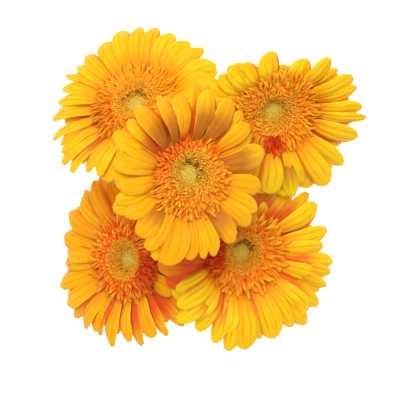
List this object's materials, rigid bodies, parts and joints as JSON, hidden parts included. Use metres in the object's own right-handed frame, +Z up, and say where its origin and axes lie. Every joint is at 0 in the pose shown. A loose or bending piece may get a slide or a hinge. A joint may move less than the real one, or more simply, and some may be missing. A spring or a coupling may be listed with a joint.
{
  "type": "gerberas in a vase",
  "caption": "Yellow cut gerberas with orange and olive centres, standing in a plain round-bellied ceramic vase, heads crowded together and leaning outwards.",
  "frame": {"origin": "centre of the vase's flat base, on the surface that it stands on", "axes": "+Z up out of the vase's mouth; +Y towards the top of the picture and +X towards its right, as the camera looks straight down"},
  "size_m": [0.1836, 0.1956, 0.3603],
  "materials": {
    "petal_yellow": "satin",
    "floret_orange": "matte",
    "disc_olive": "matte",
    "calyx_green": "matte, finely hairy",
    "stem_green": "satin, finely hairy",
    "glazed_ceramic": "gloss glaze"
  },
  "bodies": {
    "root": {"vase": "glazed_ceramic", "centre_stem": "stem_green", "centre_calyx": "calyx_green", "centre_rays_back": "petal_yellow", "centre_rays_front": "petal_yellow", "centre_trans_florets": "floret_orange", "centre_disc": "disc_olive", "top_left_stem": "stem_green", "top_left_calyx": "calyx_green", "top_left_rays_back": "petal_yellow", "top_left_rays_front": "petal_yellow", "top_left_trans_florets": "floret_orange", "top_left_disc": "disc_olive", "top_right_stem": "stem_green", "top_right_calyx": "calyx_green", "top_right_rays_back": "petal_yellow", "top_right_rays_front": "petal_yellow", "top_right_trans_florets": "floret_orange", "top_right_disc": "disc_olive", "bottom_left_stem": "stem_green", "bottom_left_calyx": "calyx_green", "bottom_left_rays_back": "petal_yellow", "bottom_left_rays_front": "petal_yellow", "bottom_left_trans_florets": "floret_orange", "bottom_left_disc": "disc_olive", "bottom_right_stem": "stem_green", "bottom_right_calyx": "calyx_green", "bottom_right_rays_back": "petal_yellow", "bottom_right_rays_front": "petal_yellow", "bottom_right_trans_florets": "floret_orange", "bottom_right_disc": "disc_olive"}
  },
  "joints": []
}
